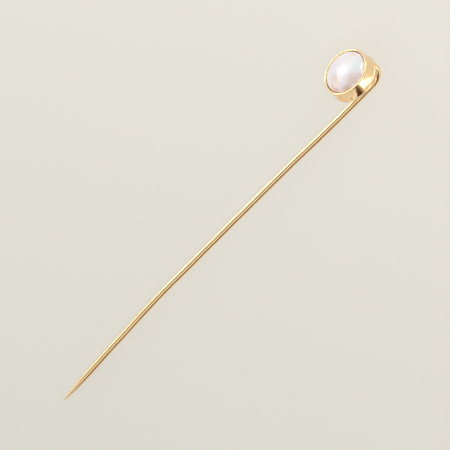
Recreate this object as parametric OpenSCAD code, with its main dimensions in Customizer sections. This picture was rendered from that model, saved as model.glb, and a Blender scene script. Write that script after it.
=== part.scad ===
// A stick pin: a half pearl in a round gold cup, on a long pointed gold wire.
// The wire leaves the back of the cup near its edge, turns square and runs back past the cup.
// The pin lies on a table as it settles by itself: on the belly of its point, on the bend of the
// wire and on the edge of the cup's back plate, so the pearl leans over to one side.
// The origin is on the table, under the middle of the pin's box.
// +X runs from the point to the head, and +Z is up.

/* [Pearl] */
// Diameter of the half pearl at its widest
pearl_d = 6.24; // [5.8:0.02:6.6]
// Height of the pearl's top above the lip of the cup
pearl_rise = 1; // [0.8:0.05:1.3]
// How far the pearl's widest place lies below the lip
girdle_drop = 0.7; // [0.6:0.05:0.8]
// Radius of the rounding between the pearl's dome and its side
shoulder_r = 1.2; // [0.8:0.05:1.2]
// Gap between the pearl and the gold
pearl_gap = 0.05; // [0.04:0.01:0.06]

/* [Bezel cup] */
// Height of the cup, from the back of its plate to the top of its lip
cup_h = 2.15; // [1.9:0.05:2.6]
// Width of the rounded lip
lip_w = 0.33; // [0.3:0.01:0.46]
// How far the lip leans in over the pearl
lip_lean = 0.09; // [0.06:0.01:0.1]
// How much the wall widens from the lip down to the plate
wall_flare = 0.09; // [0:0.01:0.15]
// Thickness of the back plate, whose edge is a full round
plate_t = 0.4; // [0.3:0.05:0.5]
// How far the plate's edge stands out from the wall
plate_step = 0.05; // [0.04:0.01:0.12]

/* [Wire] */
// Diameter of the wire
wire_d = 0.9; // [0.7:0.05:1]
// Distance from the back of the plate to the centre line of the stem
neck_drop = 3.1; // [2.8:0.05:3.8]
// Radius of the square turn behind the cup, on the wire's centre line
neck_bend_r = 2.05; // [1.6:0.05:2.7]
// How far the outside of the post lies in from the plate's edge
post_inset = 0.18; // [0.05:0.01:0.5]

/* [Stem and point] */
// Length of straight wire from the square turn to the gentle bend
stem_l = 37.8; // [24:0.1:48]
// Angle of the gentle bend, a little way up from the point
set_angle = 4.3; // [3:0.1:8]
// Radius of that bend, on the wire's centre line
set_r = 100; // [60:1:150]
// Length of straight wire from that bend to the taper
straight_l = 9.3; // [7:0.1:12]
// Length of the taper
point_l = 6.2; // [4:0.1:8]
// Diameter of the very tip, which is round
tip_d = 0.12; // [0.08:0.01:0.2]

/* [Hidden] */
$fn = 96;

// Radii, all measured from the axis of the cup
pearl_r = pearl_d / 2;
cavity_r = pearl_r + pearl_gap;
lip_r = lip_w / 2;
rim_r = cavity_r + lip_w - lip_lean;
wall_r = rim_r + wall_flare;
plate_r = wall_r + plate_step;
edge_r = plate_t / 2;

// Heights above the back of the plate
lip_z = cup_h - lip_r;
girdle_z = cup_h - girdle_drop;
pearl_top_z = cup_h + pearl_rise;
pearl_floor_z = plate_t + pearl_gap;

// The shoulder is an arc that meets the dome without a corner, so the line through both centres
// passes where they meet, and that gives the radius of the dome.
shoulder_x = pearl_r - shoulder_r;
shoulder_fall = pearl_top_z - shoulder_r - girdle_z;
centres_apart = (shoulder_x ^ 2 + shoulder_fall ^ 2) / (2 * shoulder_fall);
dome_r = centres_apart + shoulder_r;
dome_z = pearl_top_z - dome_r;

// The wire, on its centre line, with the axis of the cup at x = 0. The gentle bend is a hair thinner
// than the stem, and the straight end a hair thinner again. Each starts inside the one before it,
// so the three are one solid with no seam between equal surfaces.
wire_r = wire_d / 2;
hair = 0.005;
lap = 0.3;
bend_r = wire_r - hair;
end_r = bend_r - hair;
tip_r = tip_d / 2;
post_x = plate_r - post_inset - wire_r;
turn_x = post_x - neck_bend_r;
end_l = straight_l + point_l;
tip_x = turn_x - stem_l - set_r * sin(set_angle) - end_l * cos(set_angle);
tip_fall = set_r * (1 - cos(set_angle)) + end_l * sin(set_angle);

// The point's outline as radius and distance: a taper in cones, then a round tip with a tiny flat.
// A fullness of 1 is a plain cone, and more swells it.
taper_steps = 8;
taper_fullness = 2.2;
tip_steps = 3;
tip_round = 72;
tip_end = point_l + tip_r * sin(tip_round);
point_outline = [
    for (i = [0 : taper_steps])
        let (t = i / taper_steps)
        [tip_r + (end_r - tip_r) * (1 - t ^ taper_fullness), point_l * t],
    for (i = [1 : tip_steps])
        let (a = tip_round * i / tip_steps)
        [tip_r * cos(a), point_l + tip_r * sin(a)]
];

// How the pin lies. It rolls until the edge of the plate and the wire touch the table together,
// and pitches until the belly of the point touches it too. A ring round the point, as distance
// along +X, fall below the stem's line and radius, is made for each place in its outline.
point_rings = [
    for (place = point_outline)
        let (back = point_l - place[1])
        [tip_x + back * cos(set_angle), tip_fall - back * sin(set_angle), place[0]]
];
lie_roll = atan((neck_drop + edge_r) / (plate_r - edge_r))
    + asin((wire_r - edge_r) / norm([neck_drop + edge_r, plate_r - edge_r]));
lie_pitch = max([
    for (ring = point_rings)
        asin((ring[1] * cos(lie_roll) - wire_r + ring[2]) / (turn_x - ring[0]))
]);
lie_z = neck_drop * cos(lie_roll) + wire_r;
rim_y = (rim_r - lip_r) * cos(lie_roll) + lip_z * sin(lie_roll) + lip_r;
point_y = min([for (ring = point_rings) -(neck_drop + ring[1]) * sin(lie_roll) - ring[2]]);
middle_x = (plate_r + tip_x - tip_r) / 2;
middle_y = (rim_y + point_y) / 2;

// Lays the upright pin on the table
module lie_down() {
    translate([turn_x - middle_x, -middle_y, lie_z])
        rotate([0, lie_pitch, 0])
        rotate([-lie_roll, 0, 0])
        translate([-turn_x, 0, 0])
        children();
}

// An arc of wire in the upright plane, round the origin, by angle from +X towards +Z
module wire_arc(radius, from_angle, turn, thick_r) {
    rotate([90, 0, 0])
        rotate([0, 0, from_angle])
        rotate_extrude(angle = turn)
        translate([radius, 0])
        circle(r = thick_r);
}

// Straight wire from the origin along -X
module wire_straight(length, thick_r) {
    rotate([0, -90, 0])
        cylinder(h = length, r = thick_r);
}

// Half section of the cup: the plate with its round edge, the wall, and the round lip
module cup_section() {
    square([plate_r - edge_r, plate_t]);
    translate([plate_r - edge_r, edge_r])
        circle(r = edge_r);
    polygon([
        [cavity_r, edge_r],
        [wall_r, edge_r],
        [rim_r, lip_z],
        [rim_r - lip_w, lip_z],
        [cavity_r, girdle_z],
    ]);
    translate([rim_r - lip_r, lip_z])
        circle(r = lip_r);
}

// The post behind the cup, the square turn and the straight stem
module neck_and_stem() {
    translate([post_x, 0, neck_bend_r - neck_drop])
        cylinder(h = neck_drop - neck_bend_r + edge_r, r = wire_r);
    translate([turn_x, 0, neck_bend_r - neck_drop])
        wire_arc(neck_bend_r, -90, 90, wire_r);
    translate([turn_x, 0, -neck_drop])
        wire_straight(stem_l + lap, wire_r);
}

// The gentle bend, with what follows it: the straight end that a guard slides on, and the point
module bend_and_point() {
    translate([turn_x - stem_l, 0, -neck_drop - set_r]) {
        wire_arc(set_r, 90, set_angle, bend_r);
        rotate([0, -set_angle, 0])
            translate([0, 0, set_r]) {
                translate([lap, 0, 0])
                    wire_straight(straight_l + lap, end_r);
                translate([-straight_l, 0, 0])
                    point();
            }
    }
}

// The ground point, along -X
module point() {
    rotate([0, -90, 0])
        rotate_extrude()
        polygon(concat([[0, 0]], point_outline, [[0, tip_end]]));
}

// Half section of the half pearl: a dome, a rounder shoulder and a straight side
module pearl_section() {
    intersection() {
        union() {
            translate([0, pearl_floor_z])
                square([pearl_r, girdle_z - pearl_floor_z]);
            translate([shoulder_x, girdle_z])
                circle(r = shoulder_r);
            intersection() {
                translate([0, dome_z])
                    circle(r = dome_r);
                polygon([
                    [0, dome_z],
                    [2 * shoulder_x, dome_z + 2 * (girdle_z - dome_z)],
                    [0, dome_z + 2 * dome_r],
                ]);
            }
        }
        translate([0, pearl_floor_z])
            square([pearl_r, pearl_top_z - pearl_floor_z]);
    }
}

// The soldered gold: cup and wire are one solid
module setting_and_stem() {
    color("gold")
        lie_down() {
            rotate_extrude()
                cup_section();
            neck_and_stem();
            bend_and_point();
        }
}

// The half pearl in the cup
module pearl() {
    color("seashell")
        lie_down()
        rotate_extrude()
        pearl_section();
}

setting_and_stem();
pearl();
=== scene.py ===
"""A stick pin lying on a pale table: a half pearl in a round gold cup, on a long pointed gold wire.

Every surface is worked out with numpy in the upright frame, in millimetres: the axis of the cup is z,
the back of its plate is at z = 0, and the wire lies in the xz plane and runs off to -x. lay_down() then
puts the points on the table as the solids lie there, in metres. The sizes are those of the solids.
"""

import bpy
import numpy as np
from mathutils import Matrix, Quaternion, Vector


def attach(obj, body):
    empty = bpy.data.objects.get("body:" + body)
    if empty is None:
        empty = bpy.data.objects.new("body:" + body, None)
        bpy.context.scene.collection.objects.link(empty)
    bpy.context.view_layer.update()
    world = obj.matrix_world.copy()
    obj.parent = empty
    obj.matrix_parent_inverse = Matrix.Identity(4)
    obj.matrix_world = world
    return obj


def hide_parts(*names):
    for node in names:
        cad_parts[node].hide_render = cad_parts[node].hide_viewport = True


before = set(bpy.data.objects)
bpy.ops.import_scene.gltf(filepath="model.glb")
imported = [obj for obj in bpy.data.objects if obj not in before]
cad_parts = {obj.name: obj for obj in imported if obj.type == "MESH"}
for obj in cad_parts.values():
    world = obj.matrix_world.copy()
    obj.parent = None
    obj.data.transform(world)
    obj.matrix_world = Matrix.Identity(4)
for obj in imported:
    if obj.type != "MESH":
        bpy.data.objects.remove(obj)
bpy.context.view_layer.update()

MM = 0.001

# The half pearl
PEARL_R = 3.12
PEARL_RISE = 1.0
GIRDLE_DROP = 0.7
SHOULDER_R = 1.2
PEARL_GAP = 0.05

# The cup: a wall and a rounded lip on a back plate, whose edge is a full round
CUP_H = 2.15
LIP_W = 0.33
LIP_LEAN = 0.09
WALL_FLARE = 0.09
PLATE_T = 0.4
PLATE_STEP = 0.05

# The wire
WIRE_R = 0.45
NECK_DROP = 3.1
NECK_BEND_R = 2.05
POST_INSET = 0.18
STEM_L = 37.8
SET_ANGLE = np.radians(4.3)
SET_R = 100.0
STRAIGHT_L = 9.3
POINT_L = 6.2
TIP_R = 0.06
END_R = 0.44
TAPER_FULLNESS = 2.2
TAPER_STEPS = 8

# What follows from those sizes
CAVITY_R = PEARL_R + PEARL_GAP
LIP_R = LIP_W / 2
RIM_R = CAVITY_R + LIP_W - LIP_LEAN
WALL_R = RIM_R + WALL_FLARE
PLATE_R = WALL_R + PLATE_STEP
EDGE_R = PLATE_T / 2
LIP_Z = CUP_H - LIP_R
GIRDLE_Z = CUP_H - GIRDLE_DROP
PEARL_TOP_Z = CUP_H + PEARL_RISE
PEARL_FLOOR_Z = PLATE_T + PEARL_GAP
POST_X = PLATE_R - POST_INSET - WIRE_R
TURN_X = POST_X - NECK_BEND_R
END_L = STRAIGHT_L + POINT_L
TIP_X = TURN_X - STEM_L - SET_R * np.sin(SET_ANGLE) - END_L * np.cos(SET_ANGLE)
TIP_FALL = SET_R * (1 - np.cos(SET_ANGLE)) + END_L * np.sin(SET_ANGLE)

# How the pin lies: on the edge of its plate, on the square turn of its wire and on the belly of its
# point. Rings along the taper, as many as the solid has, find where that belly is.
RING_T = np.linspace(0, 1, TAPER_STEPS + 1)
RING_R = TIP_R + (END_R - TIP_R) * (1 - RING_T**TAPER_FULLNESS)
RING_BACK = POINT_L * (1 - RING_T)
RING_X = TIP_X + RING_BACK * np.cos(SET_ANGLE)
RING_FALL = TIP_FALL - RING_BACK * np.sin(SET_ANGLE)
ROLL = np.arctan((NECK_DROP + EDGE_R) / (PLATE_R - EDGE_R)) + np.arcsin(
    (WIRE_R - EDGE_R) / np.hypot(NECK_DROP + EDGE_R, PLATE_R - EDGE_R)
)
PITCH = np.arcsin((RING_FALL * np.cos(ROLL) - WIRE_R + RING_R) / (TURN_X - RING_X)).max()
LIE_Z = NECK_DROP * np.cos(ROLL) + WIRE_R
RIM_Y = (RIM_R - LIP_R) * np.cos(ROLL) + LIP_Z * np.sin(ROLL) + LIP_R
POINT_Y = (-(NECK_DROP + RING_FALL) * np.sin(ROLL) - RING_R).min()
MIDDLE_X = (PLATE_R + TIP_X - TIP_R) / 2
MIDDLE_Y = (RIM_Y + POINT_Y) / 2


def turn(axis, angle):
    """The 3 by 3 matrix of a right-handed turn about x or y."""
    return np.array(Matrix.Rotation(angle, 3, axis))


LIE_TURN = turn("Y", PITCH) @ turn("X", -ROLL)


def lay_down(points):
    """Upright millimetres to metres on the table: roll and then pitch about the start of the stem,
    and move that start to its place."""
    start = np.array([TURN_X, 0.0, 0.0])
    place = np.array([TURN_X - MIDDLE_X, -MIDDLE_Y, LIE_Z])
    return ((points - start) @ LIE_TURN.T + place) * MM


# Outlines, as rows of distance from an axis and height along it


def arc(centre, radius, start, end, steps):
    """Points on a circle round the centre, from one angle to another, in degrees."""
    angles = np.radians(np.linspace(start, end, steps + 1))
    return np.array(centre) + radius * np.stack([np.cos(angles), np.sin(angles)], axis=1)


def line(start, end, steps):
    """Points at even steps along a straight line."""
    return np.linspace(start, end, steps + 1)


def chained(*parts):
    """One outline from several that meet end to end, with each meeting point kept once."""
    return np.concatenate([parts[0]] + [part[1:] for part in parts[1:]])


def waves(angle, table):
    """A slow unevenness round a circle: the sum of height times cos(count * angle + phase), where each
    row of the table is (count, height, phase). Whole counts meet up again after a full turn."""
    return sum(height * np.cos(count * angle + phase) for count, height, phase in table)


def wander(distance, table):
    """A slow unevenness along the wire: the sum of height times sin(2 pi distance / length + phase),
    where each row of the table is (height, length, phase)."""
    return sum(
        height * np.sin(2 * np.pi * distance / length + phase) for height, length, phase in table
    )


def eased(distance, start, length):
    """0 up to the start, then a straight rise to 1 over the length."""
    return np.clip((distance - start) / length, 0, 1)


# Meshes


def skin(name, rings, poles=None, coordinates=None):
    """A closed mesh through an array of rings, shaped (rings, points in each, 3), in upright
    millimetres. With two poles the first and last ring close on them in a fan. Without poles the last
    ring joins the first. Faces are turned outwards by the sign of the volume that they enclose.
    coordinates, shaped as the rings with the poles after them, are kept as the attribute 'along'."""
    count, around, _ = rings.shape
    index = np.arange(count * around).reshape(count, around)
    here = index[:-1] if poles is not None else index
    there = index[1:] if poles is not None else np.roll(index, -1, axis=0)
    quads = np.stack(
        [here, np.roll(here, -1, axis=1), np.roll(there, -1, axis=1), there], axis=-1
    ).reshape(-1, 4)
    points = rings.reshape(-1, 3)
    fans = np.zeros((0, 3), int)
    if poles is not None:
        first = np.stack(
            [np.full(around, len(points)), np.roll(index[0], -1), index[0]], axis=1
        )
        last = np.stack(
            [np.full(around, len(points) + 1), index[-1], np.roll(index[-1], -1)], axis=1
        )
        fans = np.concatenate([first, last])
        points = np.concatenate([points, poles])
    triangles = np.concatenate([quads[:, [0, 1, 2]], quads[:, [0, 2, 3]], fans])
    corners = points[triangles]
    volume = np.einsum("ij,ij->i", corners[:, 0], np.cross(corners[:, 1], corners[:, 2])).sum()
    if volume < 0:
        quads = quads[:, ::-1]
        fans = fans[:, ::-1]
    mesh = bpy.data.meshes.new(name)
    mesh.vertices.add(len(points))
    mesh.vertices.foreach_set("co", lay_down(points).astype(np.float32).ravel())
    ends = np.concatenate([quads.ravel(), fans.ravel()])
    mesh.loops.add(len(ends))
    mesh.loops.foreach_set("vertex_index", ends.astype(np.int32))
    mesh.polygons.add(len(quads) + len(fans))
    starts = np.concatenate([np.arange(len(quads)) * 4, quads.size + np.arange(len(fans)) * 3])
    mesh.polygons.foreach_set("loop_start", starts.astype(np.int32))
    mesh.update(calc_edges=True)
    mesh.validate()
    mesh.shade_smooth()
    if coordinates is not None:
        along = mesh.attributes.new("along", "FLOAT_VECTOR", "POINT")
        along.data.foreach_set("vector", (coordinates * MM).astype(np.float32).ravel())
    piece = bpy.data.objects.new(name, mesh)
    bpy.context.scene.collection.objects.link(piece)
    return piece


def revolved(name, outline, around, uneven=None):
    """The outline turned round z. Its two ends are on the axis and become the poles. uneven(angle,
    radius, height) gives how far each point is moved outwards and upwards."""
    angle = np.linspace(0, 2 * np.pi, around, endpoint=False)[None, :]
    radius = outline[1:-1, 0][:, None] + 0 * angle
    height = outline[1:-1, 1][:, None] + 0 * angle
    if uneven is not None:
        out, up = uneven(angle, radius, height)
        radius = radius + out
        height = height + up
    rings = np.stack([radius * np.cos(angle), radius * np.sin(angle), height], axis=-1)
    poles = np.array([[0, 0, outline[0, 1]], [0, 0, outline[-1, 1]]])
    coordinates = np.concatenate([rings.reshape(-1, 3), poles])
    return skin(name, rings, poles, coordinates)


# The pieces


def bezel_cup():
    """The cup's half outline turned round: the back of the plate, its full-round edge, a fillet of
    solder, the wall, the lip that was pushed over the pearl, the inside and the floor. The wall is a
    little hollow: its radius is the rim's plus the flare times t ** 2.5, where t runs from 0 under the
    lip to 1 at the fillet. The pushing left the lip a little uneven, so it waves by a hundredth of a
    millimetre as whole waves round the rim, and the file left fainter waves on the wall."""
    seam = 0.035
    wall_foot = PLATE_T - 0.03
    hollowness = 2.5
    flare_t = np.linspace(1, 0, 41)
    wall = np.stack([
        RIM_R + (WALL_R - RIM_R) * flare_t**hollowness,
        LIP_Z + (wall_foot + seam - LIP_Z) * flare_t,
    ], axis=1)
    outline = chained(
        line([0, 0], [PLATE_R - EDGE_R, 0], 16),
        arc([PLATE_R - EDGE_R, EDGE_R], EDGE_R, -90, 62, 24),
        arc([WALL_R + seam, wall_foot + seam], seam, 250, 180, 6),
        wall,
        arc([RIM_R - LIP_R, LIP_Z], LIP_R, 0, 180, 28),
        line([RIM_R - LIP_W, LIP_Z], [CAVITY_R, GIRDLE_Z], 8),
        line([CAVITY_R, GIRDLE_Z], [CAVITY_R, PLATE_T], 10),
        line([CAVITY_R, PLATE_T], [0, PLATE_T], 12),
    )
    push = [(3, 0.010, 0.4), (7, 0.007, 2.1), (11, 0.005, 4.0), (17, 0.002, 1.2)]
    file_marks = [(5, 0.006, 1.0), (9, 0.004, 3.2), (14, 0.003, 0.3)]
    # Each is lowered by the sum of its heights, so that no wave stands proud of the solid
    push_depth = 0.024
    file_depth = 0.013
    inside_r = CAVITY_R + 0.01

    def uneven(angle, radius, height):
        near_lip = np.clip((height - GIRDLE_Z) / (CUP_H - GIRDLE_Z), 0, 1)
        up = near_lip * (waves(angle, push) - push_depth)
        on_wall = np.clip((height - PLATE_T) / PLATE_T, 0, 1) * (1 - near_lip)
        out = on_wall * (waves(angle, file_marks) - file_depth) * (radius > inside_r)
        return out, up

    return revolved("bezel_cup", outline, 288, uneven)


def half_pearl():
    """The pearl's half outline turned round: flat back, straight side, shoulder arc and dome arc, which
    meet without a corner. A cultured half pearl isn't a perfect dome, so slow whole waves of a few
    hundredths of a millimetre run round it, fading to nothing at its top and inside the cup."""
    shoulder_x = PEARL_R - SHOULDER_R
    fall = PEARL_TOP_Z - SHOULDER_R - GIRDLE_Z
    centres_apart = (shoulder_x**2 + fall**2) / (2 * fall)
    dome_r = centres_apart + SHOULDER_R
    dome_z = PEARL_TOP_Z - dome_r
    meet = np.degrees(np.arctan2(GIRDLE_Z - dome_z, shoulder_x))
    outline = chained(
        line([0, PEARL_FLOOR_Z], [PEARL_R, PEARL_FLOOR_Z], 12),
        line([PEARL_R, PEARL_FLOOR_Z], [PEARL_R, GIRDLE_Z], 8),
        arc([shoulder_x, GIRDLE_Z], SHOULDER_R, 0, meet, 32),
        arc([0, dome_z], dome_r, meet, 90, 48),
    )
    growth = [(2, 0.012, 0.9), (3, 0.010, 2.6), (5, 0.006, 0.2)]
    growth_depth = 0.02

    def uneven(angle, radius, height):
        proud = np.clip((height - CUP_H) / PEARL_RISE, 0, 1)
        away = np.clip(radius / PEARL_R, 0, 1)
        up = 4 * proud * (1 - proud) * away * (waves(angle, growth) - growth_depth)
        return 0 * up, up

    return revolved("half_pearl", outline, 224, uneven)


def wire_path():
    """The wire's centre line in the xz plane: up the post, round the square turn, along the stem, round
    the gentle bend and out to the tip. Returns the points, the direction at each, the distance along,
    and the radius there. The taper's radius is the tip's plus the rest times 1 - t ** fullness, and its
    points crowd towards the round tip."""
    crowding = 1.6
    tip_round = 84
    post = line([POST_X, EDGE_R], [POST_X, NECK_BEND_R - NECK_DROP], 20)
    square_turn = arc([TURN_X, NECK_BEND_R - NECK_DROP], NECK_BEND_R, 0, -90, 72)
    stem = line([TURN_X, -NECK_DROP], [TURN_X - STEM_L, -NECK_DROP], 460)
    bend_centre = [TURN_X - STEM_L, -NECK_DROP - SET_R]
    bend = arc(bend_centre, SET_R, 90, 90 + np.degrees(SET_ANGLE), 100)
    way = -np.array([np.cos(SET_ANGLE), np.sin(SET_ANGLE)])
    straight = line(bend[-1], bend[-1] + STRAIGHT_L * way, 116)
    taper_t = 1 - (1 - np.linspace(0, 1, 141)) ** crowding
    taper = straight[-1] + POINT_L * taper_t[:, None] * way
    tip_angle = np.radians(np.linspace(0, tip_round, 12))
    tip = taper[-1] + TIP_R * np.sin(tip_angle)[:, None] * way
    path = chained(post, square_turn, stem, bend, straight, taper, tip)
    full = len(path) - len(taper_t) - len(tip_angle) + 2
    radius = np.concatenate([
        np.linspace(WIRE_R, END_R, full),
        TIP_R + (END_R - TIP_R) * (1 - taper_t[1:] ** TAPER_FULLNESS),
        TIP_R * np.cos(tip_angle[1:]),
    ])
    points = np.stack([path[:, 0], 0 * path[:, 0], path[:, 1]], axis=1)
    steps = np.linalg.norm(np.diff(points, axis=0), axis=1)
    distance = np.concatenate([[0], np.cumsum(steps)])
    forward = np.gradient(points, distance, axis=0)
    forward /= np.linalg.norm(forward, axis=1)[:, None]
    return points, forward, distance, radius


def pin_wire():
    """A ring of the wire's radius square to its centre line at each point of it. Drawn wire that was
    straightened by hand is never quite true: the centre line wanders by a few hundredths of a
    millimetre as sines of unlike lengths, and the radius by a few thousandths. The stem also has one
    slow bow, level with the table: bow_out times the sine of a whole turn in each bow_length, counted
    from bow_start. All of it dies away towards the head and the tip."""
    points, forward, distance, radius = wire_path()
    sideways = np.array([0.0, 1.0, 0.0])
    upwards = np.cross(forward, sideways)
    whole = distance[-1]
    side_table = [(0.022, 17.3, 0.0), (0.008, 6.1, 1.0)]
    up_table = [(0.010, 12.9, 2.0), (0.005, 4.7, 0.0)]
    lift = 0.008
    thinning = 0.006
    ease = eased(distance, 6, 6) * eased(whole - distance, 0, 12)
    points = points + (ease * wander(distance, side_table))[:, None] * sideways
    points = points + (ease * (wander(distance, up_table) + lift))[:, None] * upwards
    bow_out = 0.065
    bow_start = 17
    bow_length = 43
    bow_end = 44
    bow_ease = eased(distance, 3, 4) * eased(bow_end - distance, 0, 8)
    bow = bow_out * bow_ease * np.sin(2 * np.pi * (distance - bow_start) / bow_length)
    level = np.array([0.0, np.cos(ROLL), np.sin(ROLL)])
    points = points + bow[:, None] * level
    lumps = wander(distance, [(1.0, 3.1, 0.0)]) * wander(distance, [(1.0, 7.7, 0.5)])
    flat = 1 - thinning * ease * (1 + lumps)
    angle = np.linspace(0, 2 * np.pi, 56, endpoint=False)
    spoke = (
        np.cos(angle)[None, :, None] * upwards[:, None, :]
        + np.sin(angle)[None, :, None] * sideways[None, None, :]
    )
    rings = points[:, None, :] + (radius * flat)[:, None, None] * spoke
    tip_bulge = TIP_R * 0.006
    poles = points[[0, -1]] + forward[[0, -1]] * np.array([[0.0], [tip_bulge]])
    drawn = np.stack(
        [
            np.broadcast_to(distance[:, None], rings.shape[:2]),
            radius[:, None] * np.cos(angle),
            radius[:, None] * np.sin(angle),
        ],
        axis=-1,
    )
    drawn_poles = np.array([[0.0, 0, 0], [whole, 0, 0]])
    coordinates = np.concatenate([drawn.reshape(-1, 3), drawn_poles])
    return skin("pin_wire", rings, poles, coordinates)


def solder_seam():
    """The fillet of solder round the foot of the post: a quarter circle hollow from the post out to
    the back of the plate. Where the plate's round edge is near it reaches out by edge_reach alone, and
    by more_inward more on the other side. Its outer rim follows that edge, a film above the metal, and
    past the rim the ring closes inside the metal."""
    around = 96
    angle = np.linspace(0, 2 * np.pi, around, endpoint=False)[None, :]
    inward = (1 - np.cos(angle)) / 2
    edge_reach = 0.04
    more_inward = 0.22
    full_climb = 0.24
    bury = 0.05
    film = 0.004
    reach = edge_reach + more_inward * inward + 0.012 * np.cos(3 * angle + 0.7)
    climb = full_climb + 0.02 * np.cos(2 * angle + 1.1)
    hollow = np.radians(np.linspace(0, 90, 15))[:, None]
    out = reach * (1 - np.cos(hollow))
    down = -climb * (1 - np.sin(hollow))
    out = np.concatenate([out, out[-1:], np.full((1, around), -bury), np.full((1, around), -bury)])
    down = np.concatenate([down, down[-1:] + bury, np.full((1, around), bury), down[:1]])
    x = POST_X + (WIRE_R + out) * np.cos(angle)
    y = (WIRE_R + out) * np.sin(angle)
    past = np.clip(np.hypot(x, y) - (PLATE_R - EDGE_R), 0, EDGE_R)
    rise = EDGE_R - np.sqrt(EDGE_R**2 - past**2)
    rings = np.stack([x, y, down + rise + film], axis=-1)
    return skin("solder_seam", rings, None, rings.reshape(-1, 3))


# Materials

# A Mix node's colours by the place of their sockets, because its names repeat: two in, one out
MIX_A = 6
MIX_B = 7
MIX_COLOUR = 2

# How far a patch of colour is pulled out of round, and how much of its reach has its full colour
SWAY = 1.2 * MM
PATCH_CORE = 0.1

# Where patches of colour lie on the half pearl: centre and reach in mm, and colour. Most are the
# nacre's overtones; some are painted light, as marked below.
OVERTONE_AND_PAINTED_LIGHT_PATCHES = [
    ((-0.5, 1.0, 3.0), 2.0, "#F1EFFA"),
    # A tan patch of painted shade, which darkens the pearl left of its middle
    ((-1.4, -0.55, 2.9), 1.45, "#E2D3C4"),
    # A near-white patch of painted highlight, which brightens and rounds the highlight
    ((-0.6, -1.7, 2.8), 1.0, "#FDF8FF"),
    # A rose-brown patch of painted reflection
    ((0.25, -2.4, 2.6), 1.3, "#F7DAD2"),
    ((2.0, -1.1, 2.7), 1.6, "#F0FAF8"),
    ((2.4, 0.9, 2.5), 1.1, "#FBE0DC"),
    # Warm peach and tan patches low on the rim: painted reflections of the gold lip
    ((-2.6, -1.2, 2.2), 1.3, "#F6D3BE"),
    ((-1.2, -2.7, 2.0), 1.2, "#E8CBB0"),
]


def colour(hex_code):
    """An sRGB hex colour as linear red, green, blue and full alpha."""
    srgb = np.array([int(hex_code[i : i + 2], 16) for i in (1, 3, 5)]) / 255
    linear = np.where(srgb <= 0.04045, srgb / 12.92, ((srgb + 0.055) / 1.055) ** 2.4)
    return (*linear, 1.0)


def add_node(tree, kind, inputs=None, **settings):
    """Adds a node. settings are its own properties, and inputs are numbers, colours or the outputs of
    other nodes, by the name or the place of the socket."""
    node = tree.nodes.new(kind)
    for name, value in settings.items():
        setattr(node, name, value)
    for socket, value in (inputs or {}).items():
        if isinstance(value, bpy.types.NodeSocket):
            tree.links.new(value, node.inputs[socket])
        else:
            node.inputs[socket].default_value = value
    return node


def new_material(name):
    """An empty material, its node tree and its shader."""
    material = bpy.data.materials.new(name)
    material.use_nodes = True
    tree = material.node_tree
    return material, tree, tree.nodes["Principled BSDF"]


def buffed_gold():
    """14 carat yellow gold, filed, papered and buffed with rouge: a soft mirror. The buff left fine
    lines round the wall, drawn 0.08 mm apart, which is coarser than real ones, so that they show. It
    also left a slight cloudiness, which dulls the gold in patches of 1 or 2 mm."""
    material, tree, shader = new_material("buffed_14ct_gold")
    place = add_node(tree, "ShaderNodeAttribute", attribute_name="along").outputs["Vector"]
    lines_place = add_node(
        tree, "ShaderNodeMapping", {"Vector": place, "Scale": (300.0, 300.0, 12000.0)}
    ).outputs["Vector"]
    lines = add_node(
        tree, "ShaderNodeTexNoise", {"Vector": lines_place, "Scale": 1.0, "Detail": 3.0}
    ).outputs["Fac"]
    cloud = add_node(
        tree, "ShaderNodeTexNoise", {"Vector": place, "Scale": 700.0, "Detail": 2.0}
    ).outputs["Fac"]
    dull = add_node(
        tree, "ShaderNodeMapRange", {"Value": cloud, "From Min": 0.35, "From Max": 0.7,
                                     "To Min": 0.09, "To Max": 0.17}
    ).outputs["Result"]
    tone = add_node(
        tree, "ShaderNodeMix",
        {0: cloud, MIX_A: colour("#FFE2B6"), MIX_B: colour("#FCD8A4")}, data_type="RGBA",
    ).outputs[MIX_COLOUR]
    bump = add_node(
        tree, "ShaderNodeBump", {"Height": lines, "Strength": 0.12, "Distance": 0.00001}
    ).outputs["Normal"]
    tree.links.new(tone, shader.inputs["Base Color"])
    tree.links.new(dull, shader.inputs["Roughness"])
    tree.links.new(bump, shader.inputs["Normal"])
    shader.inputs["Metallic"].default_value = 1.0
    return material


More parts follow.
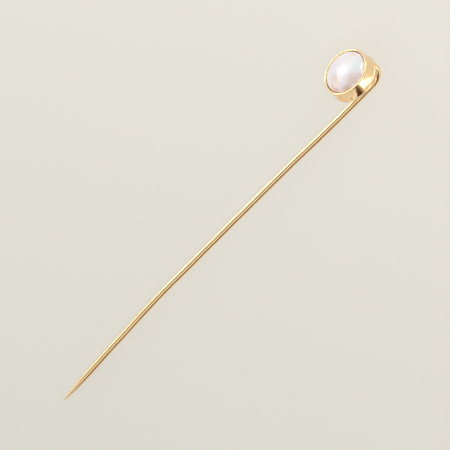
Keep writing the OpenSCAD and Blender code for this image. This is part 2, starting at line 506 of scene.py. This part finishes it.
def drawn_gold():
    """14 carat yellow gold wire pulled through a draw plate and rubbed bright: the die left faint lines
    along it, drawn 0.1 mm apart, which is coarser than real ones, so that they show. The hand that
    straightened it left it slightly lumpy, every 2 mm or so."""
    material, tree, shader = new_material("drawn_14ct_gold_wire")
    place = add_node(tree, "ShaderNodeAttribute", attribute_name="along").outputs["Vector"]
    lines_place = add_node(
        tree, "ShaderNodeMapping", {"Vector": place, "Scale": (250.0, 9000.0, 9000.0)}
    ).outputs["Vector"]
    lines = add_node(
        tree, "ShaderNodeTexNoise", {"Vector": lines_place, "Scale": 1.0, "Detail": 2.0}
    ).outputs["Fac"]
    lumps_place = add_node(
        tree, "ShaderNodeMapping", {"Vector": place, "Scale": (450.0, 900.0, 900.0)}
    ).outputs["Vector"]
    lumps = add_node(
        tree, "ShaderNodeTexNoise", {"Vector": lumps_place, "Scale": 1.0, "Detail": 1.0}
    ).outputs["Fac"]
    tone = add_node(
        tree, "ShaderNodeMix",
        {0: lumps, MIX_A: colour("#FFE0B0"), MIX_B: colour("#F8D39C")}, data_type="RGBA",
    ).outputs[MIX_COLOUR]
    dull = add_node(
        tree, "ShaderNodeMapRange", {"Value": lines, "From Min": 0.3, "From Max": 0.7,
                                     "To Min": 0.15, "To Max": 0.24}
    ).outputs["Result"]
    lumpy = add_node(
        tree, "ShaderNodeBump", {"Height": lumps, "Strength": 0.5, "Distance": 0.00005}
    ).outputs["Normal"]
    bump = add_node(
        tree, "ShaderNodeBump",
        {"Height": lines, "Strength": 0.15, "Distance": 0.00001, "Normal": lumpy},
    ).outputs["Normal"]
    tree.links.new(tone, shader.inputs["Base Color"])
    tree.links.new(dull, shader.inputs["Roughness"])
    tree.links.new(bump, shader.inputs["Normal"])
    shader.inputs["Metallic"].default_value = 1.0
    return material


def solder_gold():
    """Easy gold solder, as it ran and set: paler than the alloy it joins and less bright, with the
    faint orange-peel skin of metal that froze unbuffed, its grain about 0.1 mm."""
    material, tree, shader = new_material("gold_solder")
    place = add_node(tree, "ShaderNodeTexCoord").outputs["Object"]
    skin_noise = add_node(
        tree, "ShaderNodeTexNoise", {"Vector": place, "Scale": 9000.0, "Detail": 2.0}
    ).outputs["Fac"]
    tone = add_node(
        tree, "ShaderNodeMix",
        {0: skin_noise, MIX_A: colour("#F6DDB2"), MIX_B: colour("#E9C591")}, data_type="RGBA",
    ).outputs[MIX_COLOUR]
    bump = add_node(
        tree, "ShaderNodeBump", {"Height": skin_noise, "Strength": 0.3, "Distance": 0.00002}
    ).outputs["Normal"]
    tree.links.new(tone, shader.inputs["Base Color"])
    tree.links.new(bump, shader.inputs["Normal"])
    shader.inputs["Metallic"].default_value = 1.0
    shader.inputs["Roughness"].default_value = 0.26
    return material


def nacre():
    """Nacre, as it grew: thousands of thin clear layers over a white body. Light goes a little way in
    and comes back soft, the layers give a satin glow under a bright smooth skin, and its overtones
    drift between rose, lavender, cream and a cool grey-green in patches of 1 or 2 mm. Laid over them in
    the same way are patches of painted light: painted reflections of the gold lip low on the rim, a
    rose-brown painted reflection, a painted highlight and a patch of painted shade. The edges of the
    layers run round it as very faint lines, drawn 0.2 mm apart so that they show."""
    material, tree, shader = new_material("nacre")
    place = add_node(tree, "ShaderNodeAttribute", attribute_name="along").outputs["Vector"]
    drift = add_node(
        tree, "ShaderNodeTexNoise", {"Vector": place, "Scale": 700.0, "Detail": 1.0}
    ).outputs
    body = add_node(
        tree, "ShaderNodeMix",
        {0: drift["Fac"], MIX_A: colour("#F9F7FF"), MIX_B: colour("#F7F2F9")}, data_type="RGBA",
    ).outputs[MIX_COLOUR]
    sway = add_node(
        tree, "ShaderNodeVectorMath", {0: drift["Color"], 1: (-0.5, -0.5, -0.5)}, operation="ADD"
    ).outputs["Vector"]
    swayed = add_node(
        tree, "ShaderNodeVectorMath", {0: sway, 1: (SWAY, SWAY, SWAY), 2: place},
        operation="MULTIPLY_ADD",
    ).outputs["Vector"]
    # Each patch, overtones and painted reflections, highlight and shade alike, is laid over the body
    # colour
    for centre, reach, patch_colour in OVERTONE_AND_PAINTED_LIGHT_PATCHES:
        away = add_node(
            tree, "ShaderNodeVectorMath", {0: swayed, 1: tuple(MM * part for part in centre)},
            operation="DISTANCE",
        ).outputs["Value"]
        share = add_node(
            tree, "ShaderNodeMapRange",
            {"Value": away, "From Min": PATCH_CORE * MM * reach, "From Max": MM * reach,
             "To Min": 1.0, "To Max": 0.0},
            interpolation_type="SMOOTHSTEP",
        ).outputs["Result"]
        body = add_node(
            tree, "ShaderNodeMix", {0: share, MIX_A: body, MIX_B: colour(patch_colour)}, data_type="RGBA"
        ).outputs[MIX_COLOUR]
    growth_place = add_node(
        tree, "ShaderNodeMapping", {"Vector": place, "Scale": (700.0, 700.0, 5200.0)}
    ).outputs["Vector"]
    growth = add_node(
        tree, "ShaderNodeTexNoise", {"Vector": growth_place, "Scale": 1.0, "Detail": 2.0}
    ).outputs["Fac"]
    bump = add_node(
        tree, "ShaderNodeBump", {"Height": growth, "Strength": 0.1, "Distance": 0.00003}
    ).outputs["Normal"]
    tree.links.new(body, shader.inputs["Base Color"])
    tree.links.new(bump, shader.inputs["Normal"])
    shader.inputs["Metallic"].default_value = 0.1
    shader.inputs["Roughness"].default_value = 0.3
    shader.inputs["IOR"].default_value = 1.6
    shader.inputs["Subsurface Weight"].default_value = 0.2
    shader.inputs["Subsurface Radius"].default_value = (1.0, 0.8, 0.7)
    shader.inputs["Subsurface Scale"].default_value = 0.0005
    shader.inputs["Coat Weight"].default_value = 1.0
    shader.inputs["Coat Roughness"].default_value = 0.13
    shader.inputs["Coat IOR"].default_value = 1.6
    return material


def opal_table():
    """The table: matt opal acrylic, lit a little from below as a copy stand is, so that hardly any
    shadow is left on it. The lamps under it stand nearer its +X +Y corner, so the glow grows that way,
    over about 0.1 m round the pin. Its cast has a very slight mottle, in patches of 25 mm."""
    towards_lamps = (1.75, 1.08, 0.0)
    weak_glow = 0.668
    full_glow = 0.82
    material, tree, shader = new_material("opal_acrylic")
    place = add_node(tree, "ShaderNodeTexCoord").outputs["Object"]
    mottle = add_node(
        tree, "ShaderNodeTexNoise", {"Vector": place, "Scale": 40.0, "Detail": 2.0}
    ).outputs["Fac"]
    tone = add_node(
        tree, "ShaderNodeMix",
        {0: mottle, MIX_A: colour("#7C7B76"), MIX_B: colour("#807F7A")}, data_type="RGBA",
    ).outputs[MIX_COLOUR]
    tree.links.new(tone, shader.inputs["Base Color"])
    shader.inputs["Roughness"].default_value = 0.5
    shader.inputs["Specular IOR Level"].default_value = 0.25
    slope = add_node(
        tree, "ShaderNodeVectorMath", {0: place, 1: towards_lamps}, operation="DOT_PRODUCT"
    ).outputs["Value"]
    glow = add_node(
        tree, "ShaderNodeMapRange", {"Value": slope, "From Min": -0.1, "From Max": 0.1,
                                     "To Min": weak_glow, "To Max": full_glow}
    ).outputs["Result"]
    tree.links.new(glow, shader.inputs["Emission Strength"])
    shader.inputs["Emission Color"].default_value = colour("#E6E3D9")
    return material


# The object

gold_pieces = [
    (bezel_cup(), buffed_gold()),
    (pin_wire(), drawn_gold()),
    (solder_seam(), solder_gold()),
]
for piece, material in gold_pieces:
    piece.data.materials.append(material)
    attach(piece, "root")
    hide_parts("setting_and_stem")

pearl = half_pearl()
pearl.data.materials.append(nacre())
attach(pearl, "root")
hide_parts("pearl")

# The table

TABLE_HALF = 1.5
TABLE_DROP = 0.01 * MM
table_mesh = bpy.data.meshes.new("table")
table_mesh.from_pydata(
    [(x * TABLE_HALF, y * TABLE_HALF, -TABLE_DROP) for x, y in ((-1, -1), (1, -1), (1, 1), (-1, 1))],
    [], [(0, 1, 2, 3)],
)
table = bpy.data.objects.new("table", table_mesh)
bpy.context.scene.collection.objects.link(table)
table_mesh.materials.append(opal_table())

# The light: soft boxes in a plain room that is pale on the +Y side and dark and warm on the -Y side

AIM = Vector((0.02, 0.0, 0.002))


def softbox(name, bearing, height, distance, width, tall, radiance, tint="#FFFFFF", tip=0.0):
    """A rectangular light that faces the pin, at a bearing in degrees from +X towards +Y and a height
    in degrees above the table, tipped in its own plane by some degrees. Its power gives every point of
    its face the same radiance."""
    bearing, height = np.radians([bearing, height])
    out = Vector((np.cos(bearing) * np.cos(height), np.sin(bearing) * np.cos(height), np.sin(height)))
    light = bpy.data.lights.new(name, "AREA")
    light.shape = "RECTANGLE"
    light.size = width
    light.size_y = tall
    light.color = colour(tint)[:3]
    light.energy = radiance * np.pi * width * tall
    lamp = bpy.data.objects.new(name, light)
    lamp.location = AIM + distance * out
    facing = out.to_track_quat("Z", "Y")
    tipped = Quaternion((0, 0, 1), np.radians(tip))
    lamp.rotation_euler = (facing @ tipped).to_euler()
    lamp.visible_camera = False
    bpy.context.scene.collection.objects.link(lamp)


softbox("window", 98, 18, 0.87, 0.14, 0.14, 3.0, "#FFFDFA")
softbox("window_glow", 98, 8, 0.90, 0.36, 0.36, 1.8, "#FFFCF6")
softbox("window_sill", 102, 2, 0.88, 0.34, 0.12, 3.4, "#FFFCF6")
softbox("window_side", 131, 10, 0.90, 0.56, 0.42, 1.0, "#FFFCF6")
softbox("overhead", 262, 66, 0.9, 1.50, 0.62, 0.70)
softbox("side_right", 12, 22, 0.8, 0.70, 0.55, 1.45)
softbox("side_left", 178, 30, 0.9, 0.56, 0.50, 0.9)
softbox("strip", 284, 7, 0.8, 0.29, 0.24, 2.8)
softbox("strip_end", 309, 7, 0.8, 0.42, 0.24, 2.0, "#F6F8FF")
softbox("upper_card", 297, 26, 0.86, 0.86, 0.32, 0.75, "#FFF0E0")
softbox("brown_card", 271, 12, 0.82, 0.21, 0.38, 0.36, "#FFE6C8", 20)
softbox("low_card", 237, 3, 0.8, 0.80, 0.21, 0.85, "#FFFFFF", -25)

world = bpy.data.worlds.new("studio")
bpy.context.scene.world = world
world.use_nodes = True
room = world.node_tree
way = add_node(room, "ShaderNodeTexCoord").outputs["Generated"]
across = add_node(room, "ShaderNodeSeparateXYZ", {"Vector": way}).outputs["Y"]
from_front = add_node(room, "ShaderNodeMapRange", {"Value": across, "From Min": -1.0}).outputs["Result"]
walls = add_node(room, "ShaderNodeValToRGB", {"Fac": from_front})

# The walls as stops from -Y to +Y: place, radiance and tint. A new ramp has two stops already.
ROOM = [
    (0.0, 0.10, "#EBAF80"), (0.14, 0.10, "#EBAF80"), (0.28, 0.42, "#FFF6EA"),
    (0.72, 0.40, "#FFFFFF"), (0.90, 0.65, "#FFFFFF"), (1.0, 1.3, "#FFFFFF"),
]
stops = walls.color_ramp.elements
for number, (place, radiance, tint) in enumerate(ROOM):
    stop = stops[number] if number < 2 else stops.new(place)
    stop.position = place
    stop.color = (*(radiance * part for part in colour(tint)[:3]), 1.0)

# Past the table the camera sees one plain pale tone instead of those walls
BACKDROP_LEVEL = 0.8
seen = add_node(room, "ShaderNodeLightPath").outputs["Is Camera Ray"]
plain = tuple(BACKDROP_LEVEL * part for part in colour("#F6F4EE"))
shown = add_node(
    room, "ShaderNodeMix", {0: seen, MIX_A: walls.outputs["Color"], MIX_B: plain}, data_type="RGBA"
).outputs[MIX_COLOUR]
room.links.new(shown, room.nodes["Background"].inputs["Color"])

bpy.context.scene.view_settings.view_transform = "Standard"

# The camera: nearly overhead, from the head's side, with the pin running from the lower left of the
# picture to the upper right. Its distance and lens are those at which the pin has its size in the
# frame. Its bearing runs from -Y towards +X, and its roll turns the picture about its middle.

CAMERA_BEARING = np.radians(97.154)
CAMERA_HEIGHT = np.radians(77.524)
CAMERA_ROLL = np.radians(218.009)
CAMERA_AIM = np.array([1.396, -1.956, 0.0]) * MM
CAMERA_DISTANCE = 450 * MM
CAMERA_LENS = 268.6

to_camera = np.array([
    np.sin(CAMERA_BEARING) * np.cos(CAMERA_HEIGHT),
    -np.cos(CAMERA_BEARING) * np.cos(CAMERA_HEIGHT),
    np.sin(CAMERA_HEIGHT),
])
level = np.array([np.cos(CAMERA_BEARING), np.sin(CAMERA_BEARING), 0.0])
upright = np.cross(to_camera, level)
camera_x = np.cos(CAMERA_ROLL) * level + np.sin(CAMERA_ROLL) * upright
camera_y = np.cos(CAMERA_ROLL) * upright - np.sin(CAMERA_ROLL) * level
camera_data = bpy.data.cameras.new("camera")
camera_data.lens = CAMERA_LENS
camera_data.sensor_width = 36.0
camera_data.clip_start = 0.01
camera_data.clip_end = 20.0
camera = bpy.data.objects.new("camera", camera_data)
bpy.context.scene.collection.objects.link(camera)
placed = np.eye(4)
placed[:3, 0] = camera_x
placed[:3, 1] = camera_y
placed[:3, 2] = to_camera
placed[:3, 3] = CAMERA_AIM + CAMERA_DISTANCE * to_camera
camera.matrix_world = Matrix(placed.tolist())
bpy.context.scene.camera = camera
